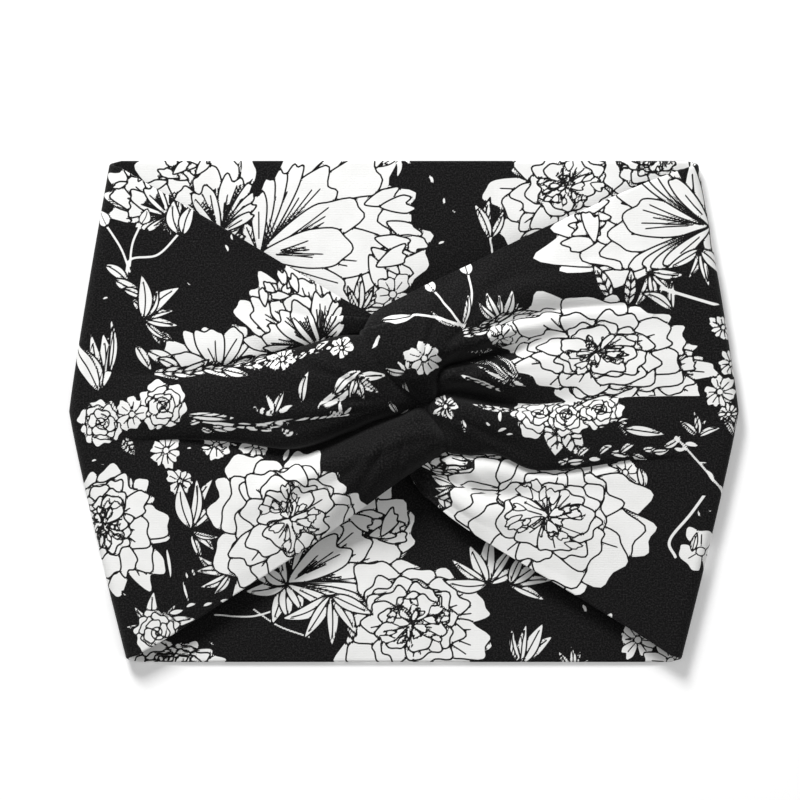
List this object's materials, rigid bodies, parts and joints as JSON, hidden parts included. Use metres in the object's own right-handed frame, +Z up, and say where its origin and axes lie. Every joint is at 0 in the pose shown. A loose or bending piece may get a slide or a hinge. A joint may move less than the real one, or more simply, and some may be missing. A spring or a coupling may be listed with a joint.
{
  "type": "knotted headband",
  "caption": "Wide double-layer jersey headband with a twisted knot in front, lying flat, opening into a loop for the head.",
  "frame": {"origin": "middle of the band's footprint, on the surface it lies on", "axes": "+X across the head opening to the wearer's left fold as seen from the knot side, +Y towards the band's upper edge, +Z up through the knot"},
  "size_m": [0.24, 0.18, 0.0258],
  "materials": {
    "printed_jersey": "matte black jersey with white flowers printed on it",
    "printed_lining": "the same printed jersey, turned to the inside",
    "sewing_thread": "black polyester sewing thread"
  },
  "bodies": {
    "back_centre": {"back_face": "printed_jersey", "back_lining": "printed_lining", "back_stitching": "sewing_thread"},
    "back_left": {"left_back_face": "printed_jersey", "left_back_lining": "printed_lining", "left_back_stitching": "sewing_thread", "left_fold_face": "printed_jersey", "left_fold_lining": "printed_lining", "left_fold_stitching": "sewing_thread"},
    "front_left": {"left_front_face": "printed_jersey", "left_front_lining": "printed_lining", "left_front_stitching": "sewing_thread"},
    "knot": {"left_gather_face": "printed_jersey", "left_gather_lining": "printed_lining", "left_gather_stitching": "sewing_thread", "right_gather_face": "printed_jersey", "right_gather_lining": "printed_lining", "right_gather_stitching": "sewing_thread", "left_knot_hook": "printed_jersey", "right_knot_hook": "printed_jersey", "knot_seam": "sewing_thread"},
    "front_right": {"right_front_face": "printed_jersey", "right_front_lining": "printed_lining", "right_front_stitching": "sewing_thread"},
    "back_right": {"right_back_face": "printed_jersey", "right_back_lining": "printed_lining", "right_back_stitching": "sewing_thread", "right_fold_face": "printed_jersey", "right_fold_lining": "printed_lining", "right_fold_stitching": "sewing_thread"}
  },
  "joints": [
    {"name": "left_back_bend", "type": "hinge", "parent": "back_centre", "child": "back_left", "pos_m": [-0.045, 0, 0.0008], "axis": [0, 1, 0], "range_deg": [0, 50]},
    {"name": "left_side_unfold", "type": "hinge", "parent": "back_left", "child": "front_left", "pos_m": [-0.1159, 0, 0.0041], "axis": [0, -1, 0], "range_deg": [0, 100]},
    {"name": "left_front_bend", "type": "hinge", "parent": "front_left", "child": "knot", "pos_m": [-0.045, 0, 0.0074], "axis": [0, 1, 0], "range_deg": [0, 50]},
    {"name": "right_front_bend", "type": "hinge", "parent": "knot", "child": "front_right", "pos_m": [0.045, 0, 0.0074], "axis": [0, 1, 0], "range_deg": [0, 50]},
    {"name": "right_side_unfold", "type": "hinge", "parent": "front_right", "child": "back_right", "pos_m": [0.1159, 0, 0.0041], "axis": [0, -1, 0], "range_deg": [0, 100]}
  ],
  "couplings": [
    {"joint": "left_side_unfold", "follows": "left_back_bend", "ratio": 2},
    {"joint": "left_front_bend", "follows": "left_back_bend", "ratio": 1},
    {"joint": "right_front_bend", "follows": "left_back_bend", "ratio": 1},
    {"joint": "right_side_unfold", "follows": "left_back_bend", "ratio": 2}
  ]
}
